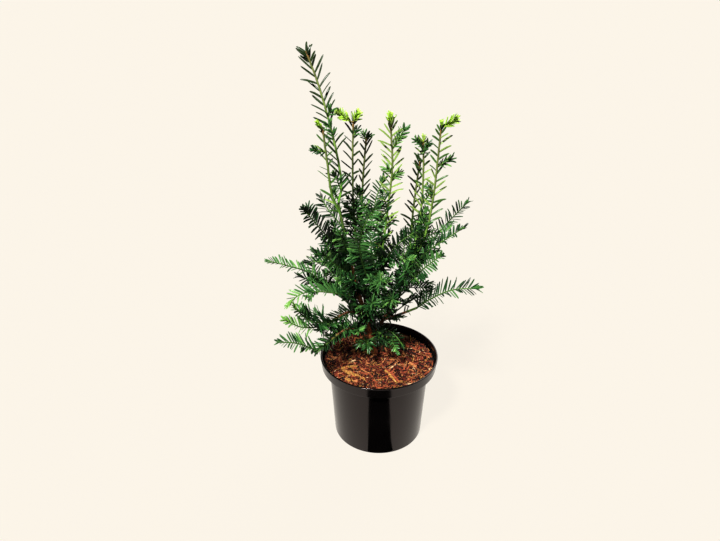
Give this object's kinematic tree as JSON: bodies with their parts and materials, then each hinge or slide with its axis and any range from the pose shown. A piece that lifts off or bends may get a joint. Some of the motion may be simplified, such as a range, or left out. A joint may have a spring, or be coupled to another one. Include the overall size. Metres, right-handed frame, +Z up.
{
  "type": "potted english yew",
  "caption": "Young english yew with upright leaders and spreading sprays of flat needles, growing in a round black nursery pot topped with bark mulch.",
  "frame": {"origin": "middle of the pot's flat underside", "axes": "+Z up the plant, +X to the right and +Y to the back as seen from the front"},
  "size_m": [0.2911, 0.1973, 0.5566],
  "materials": {
    "pot_plastic": "moulded black polypropylene, semi-gloss",
    "bark_mulch": "loose shredded conifer bark, damp and matt",
    "bark": "thin flaking reddish-brown bark, green on the young upper stem",
    "needles": "leathery dark green needles with a waxy gloss, bright yellow-green on new growth"
  },
  "bodies": {
    "root": {"pot": "pot_plastic", "mulch": "bark_mulch", "trunk": "bark", "centre_bough": "bark", "right_bough": "bark", "back_bough": "bark", "left_bough": "bark", "low_left_bough": "bark", "lowest_left_bough": "bark", "low_right_bough": "bark", "back_left_bough": "bark", "back_right_bough": "bark", "tall_leader": "needles", "left_leader": "needles", "back_left_leader": "needles", "back_leader": "needles", "front_leader": "needles", "right_leader": "needles", "right_back_leader": "needles", "outer_right_leader": "needles", "upper_left_spray": "needles", "rising_back_left_spray": "needles", "left_inner_spray": "needles", "mid_left_spray": "needles", "left_spray": "needles", "level_left_spray": "needles", "far_left_spray": "needles", "under_left_spray": "needles", "front_left_spray": "needles", "low_left_spray": "needles", "rising_left_spray": "needles", "lowest_left_spray": "needles", "rim_spray": "needles", "front_fan": "needles", "upper_front_fan": "needles", "left_front_fan": "needles", "right_front_fan": "needles", "low_front_fan": "needles", "drooping_front_spray": "needles", "low_right_fan": "needles", "front_left_leader": "needles", "centre_leader": "needles", "far_right_spray": "needles", "right_mid_spray": "needles", "right_fan": "needles", "right_front_spray": "needles", "upper_right_front_spray": "needles", "upper_right_spray": "needles", "inner_right_spray": "needles", "low_back_spray": "needles", "low_back_left_spray": "needles", "low_back_right_spray": "needles", "back_left_spray": "needles", "rising_left_back_spray": "needles", "back_spray": "needles", "back_right_spray": "needles", "rising_right_back_spray": "needles", "upper_back_spray": "needles"}
  },
  "joints": []
}
